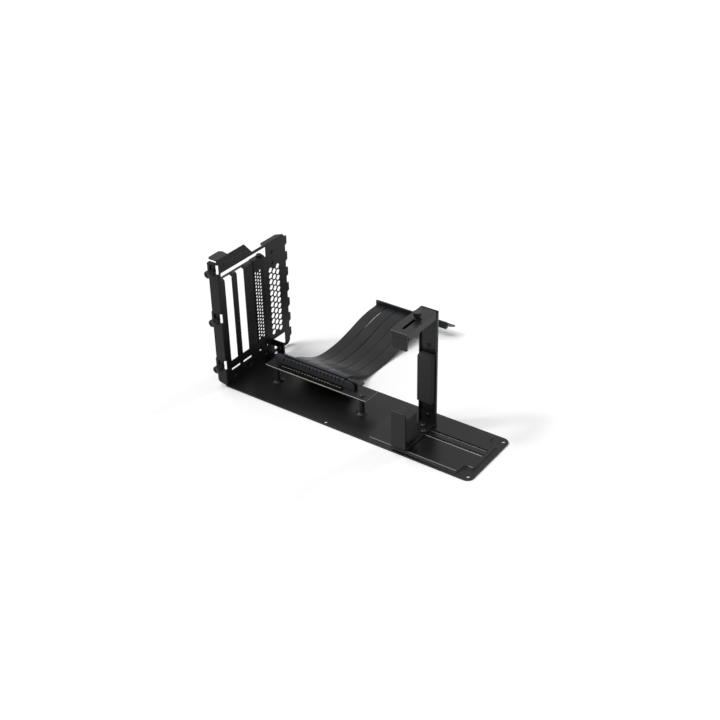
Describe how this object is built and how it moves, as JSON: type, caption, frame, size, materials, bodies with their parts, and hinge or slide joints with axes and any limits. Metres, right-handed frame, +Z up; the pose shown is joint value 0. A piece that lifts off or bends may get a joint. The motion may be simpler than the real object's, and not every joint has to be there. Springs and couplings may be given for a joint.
{
  "type": "graphics card mount",
  "caption": "Upright graphics card mount: base plate with slot bracket, riser slot on a flat cable and a sliding card support.",
  "frame": {"origin": "on the underside of the base plate, at the middle of its width, in the plane of the slot bracket's card-side face", "axes": "+X along the base plate away from the slot bracket, +Y towards the flat cable's plug at the back, +Z up"},
  "size_m": [0.3367, 0.2516, 0.1622],
  "materials": {
    "coated_steel": "fine satin powder coat",
    "cover_steel": "satin powder coat",
    "screw_black": "black oxide",
    "screw_zinc": "zinc plated",
    "board_black": "glossy black lacquer",
    "slot_black": "moulded black nylon",
    "contact_gold": "gold plated",
    "cable_black": "soft black sleeve",
    "plug_dark": "dark blue-green",
    "foam_black": "dense closed-cell foam"
  },
  "bodies": {
    "mount": {"base_plate": "coated_steel", "slot_bracket": "coated_steel", "slot_cover": "cover_steel", "cover_screw": "screw_black", "ear_screw": "screw_black", "foot_rivets": "screw_black", "riser_board": "board_black", "riser_slot": "slot_black", "slot_contacts": "contact_gold", "riser_standoffs": "screw_zinc", "standoff_screws": "screw_zinc", "board_screw": "screw_zinc", "ribbon_strip_1": "cable_black", "ribbon_strip_2": "cable_black", "ribbon_strip_3": "cable_black", "ribbon_strip_4": "cable_black", "ribbon_strip_5": "cable_black", "plug_housing": "plug_dark", "plug_board": "board_black", "plug_contacts": "contact_gold"},
    "upper_side_screw": {"top_thumbscrew": "screw_black"},
    "middle_side_screw": {"middle_thumbscrew": "screw_black"},
    "lower_side_screw": {"bottom_thumbscrew": "screw_black"},
    "latch": {"slot_latch": "slot_black"},
    "support": {"support_foot": "coated_steel", "nut_plate": "screw_zinc", "foot_screws": "screw_zinc", "support_post": "coated_steel", "post_rivet": "screw_black", "support_arm": "coated_steel", "arm_rivet": "screw_black", "foot_pad": "foam_black", "post_pad": "foam_black"},
    "jaw": {"jaw": "coated_steel", "jaw_nut": "screw_black", "jaw_pad": "foam_black", "jaw_washer": "screw_black"},
    "jaw_screw": {"jaw_thumbscrew": "screw_black"}
  },
  "joints": [
    {"name": "support_slide", "type": "slide", "parent": "mount", "child": "support", "axis": [1, 0, 0], "range_m": [-0.026, 0.064]},
    {"name": "jaw_slide", "type": "slide", "parent": "support", "child": "jaw", "axis": [0, -1, 0], "range_m": [0, 0.022]},
    {"name": "jaw_screw_turn", "type": "hinge", "parent": "jaw", "child": "jaw_screw", "pos_m": [0.23295, -0.0052, 0.148], "axis": [0, 0, 1], "continuous": true},
    {"name": "latch_hinge", "type": "hinge", "parent": "mount", "child": "latch", "pos_m": [0.141, 0.0034, 0.0294], "axis": [0, 1, 0], "range_deg": [0, 28]},
    {"name": "upper_screw_turn", "type": "hinge", "parent": "mount", "child": "upper_side_screw", "pos_m": [-0.0077, -0.0415, 0.1465], "axis": [0, 1, 0], "continuous": true},
    {"name": "middle_screw_turn", "type": "hinge", "parent": "mount", "child": "middle_side_screw", "pos_m": [-0.0077, -0.0415, 0.08554], "axis": [0, 1, 0], "continuous": true},
    {"name": "lower_screw_turn", "type": "hinge", "parent": "mount", "child": "lower_side_screw", "pos_m": [-0.0077, -0.0415, 0.02458], "axis": [0, 1, 0], "continuous": true}
  ]
}
